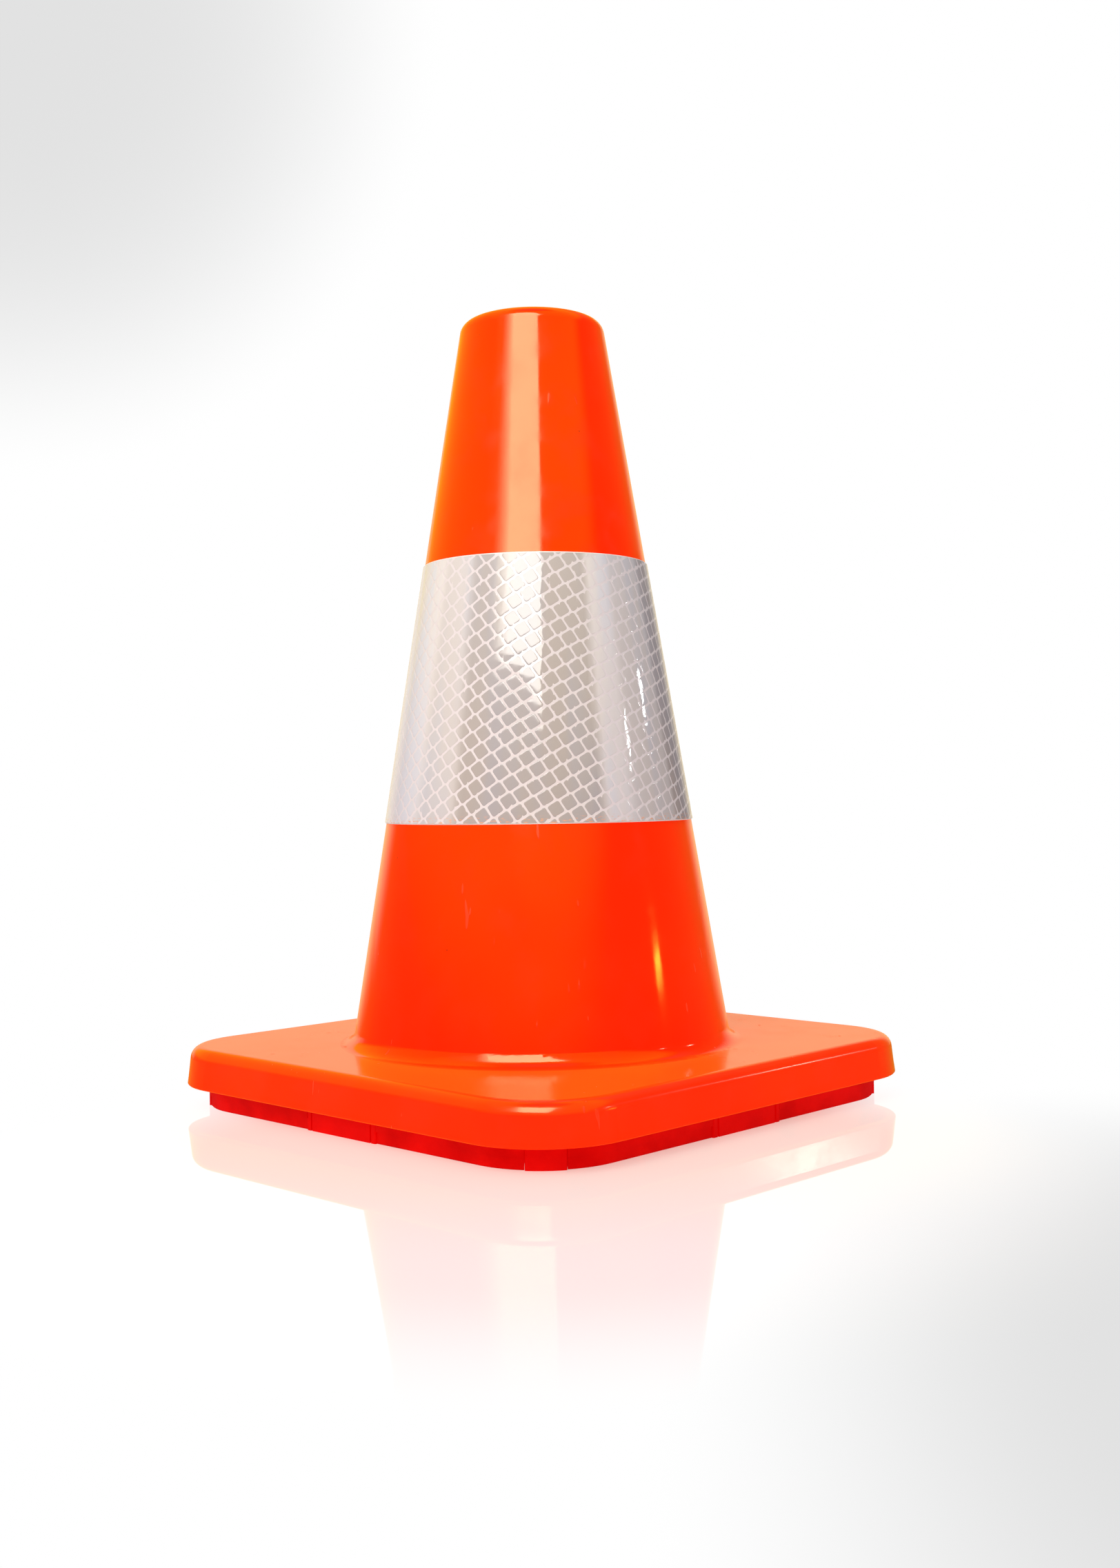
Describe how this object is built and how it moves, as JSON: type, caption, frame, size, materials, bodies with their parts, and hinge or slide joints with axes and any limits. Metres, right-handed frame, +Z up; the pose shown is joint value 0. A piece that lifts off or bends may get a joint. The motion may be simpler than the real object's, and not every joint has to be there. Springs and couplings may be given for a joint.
{
  "type": "traffic cone",
  "caption": "Glossy orange PVC traffic cone with a white prismatic reflective collar, hollow body, open top and square skirted base on a ballast frame.",
  "frame": {"origin": "on the ground under the middle of the square base", "axes": "+Z up along the cone's axis; the sides of the base lie along X and Y"},
  "size_m": [0.2158, 0.2158, 0.3048],
  "materials": {
    "orange_pvc": "glossy fluorescent orange PVC",
    "recycled_pvc": "deep red recycled PVC, satin",
    "foot_pvc": "deep red soft PVC, satin",
    "collar_carrier": "off-white vinyl carrier",
    "prismatic_film": "microprismatic retroreflective sheeting with sealed cells"
  },
  "bodies": {
    "root": {"cone_shell": "orange_pvc", "ballast_frame": "recycled_pvc", "foot_ring": "recycled_pvc", "corner_foot_1": "foot_pvc", "corner_foot_2": "foot_pvc", "corner_foot_3": "foot_pvc", "corner_foot_4": "foot_pvc", "side_foot_1": "foot_pvc", "side_foot_2": "foot_pvc", "side_foot_3": "foot_pvc", "side_foot_4": "foot_pvc", "collar_backing": "collar_carrier", "collar_film": "prismatic_film"}
  },
  "joints": []
}
